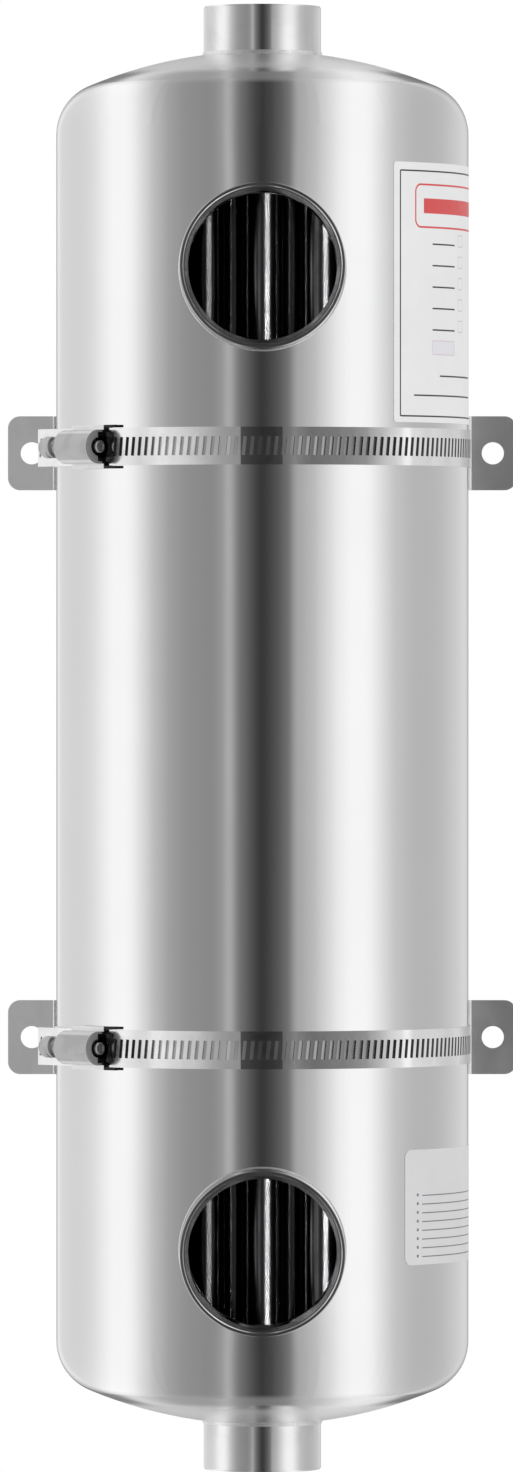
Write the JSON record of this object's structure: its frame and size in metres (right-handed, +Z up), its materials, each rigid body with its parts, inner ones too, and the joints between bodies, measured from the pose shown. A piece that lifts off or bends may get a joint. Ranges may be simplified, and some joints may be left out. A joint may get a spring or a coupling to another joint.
{
  "type": "shell and tube heat exchanger",
  "caption": "Upright steel shell and tube heat exchanger with dished heads, end and side sockets, held to a wall by worm-drive band clamps and bent strip brackets.",
  "frame": {"origin": "centre of the lower left screw hole, on the wall plane that the rear faces of the bracket feet lie on", "axes": "+Z up along the shell, +Y into the wall, so the side sockets face -Y; +X to the right seen from the front"},
  "size_m": [0.1672, 0.1626, 0.472],
  "materials": {
    "polished_steel": "mirror polished",
    "socket_steel": "turned, polished",
    "sheet_steel": "machined",
    "tube_steel": "bright drawn",
    "band_steel": "rolled, bright",
    "screw_steel": "plated",
    "bracket_steel": "satin"
  },
  "bodies": {
    "root": {"shell": "polished_steel", "upper_head": "polished_steel", "lower_head": "polished_steel", "upper_nozzle": "socket_steel", "lower_nozzle": "socket_steel", "upper_port": "socket_steel", "lower_port": "socket_steel", "upper_tube_sheet": "sheet_steel", "lower_tube_sheet": "sheet_steel", "tube_01": "tube_steel", "tube_02": "tube_steel", "tube_03": "tube_steel", "tube_04": "tube_steel", "tube_05": "tube_steel", "tube_06": "tube_steel", "tube_07": "tube_steel", "tube_08": "tube_steel", "tube_09": "tube_steel", "tube_10": "tube_steel", "tube_11": "tube_steel", "tube_12": "tube_steel", "tube_13": "tube_steel", "tube_14": "tube_steel", "tube_15": "tube_steel", "tube_16": "tube_steel", "tube_17": "tube_steel", "tube_18": "tube_steel", "tube_19": "tube_steel", "upper_clamp_band": "band_steel", "upper_clamp_housing": "band_steel", "upper_clamp_screw": "screw_steel", "upper_wall_bracket": "bracket_steel", "lower_clamp_band": "band_steel", "lower_clamp_housing": "band_steel", "lower_clamp_screw": "screw_steel", "lower_wall_bracket": "bracket_steel"}
  },
  "joints": []
}
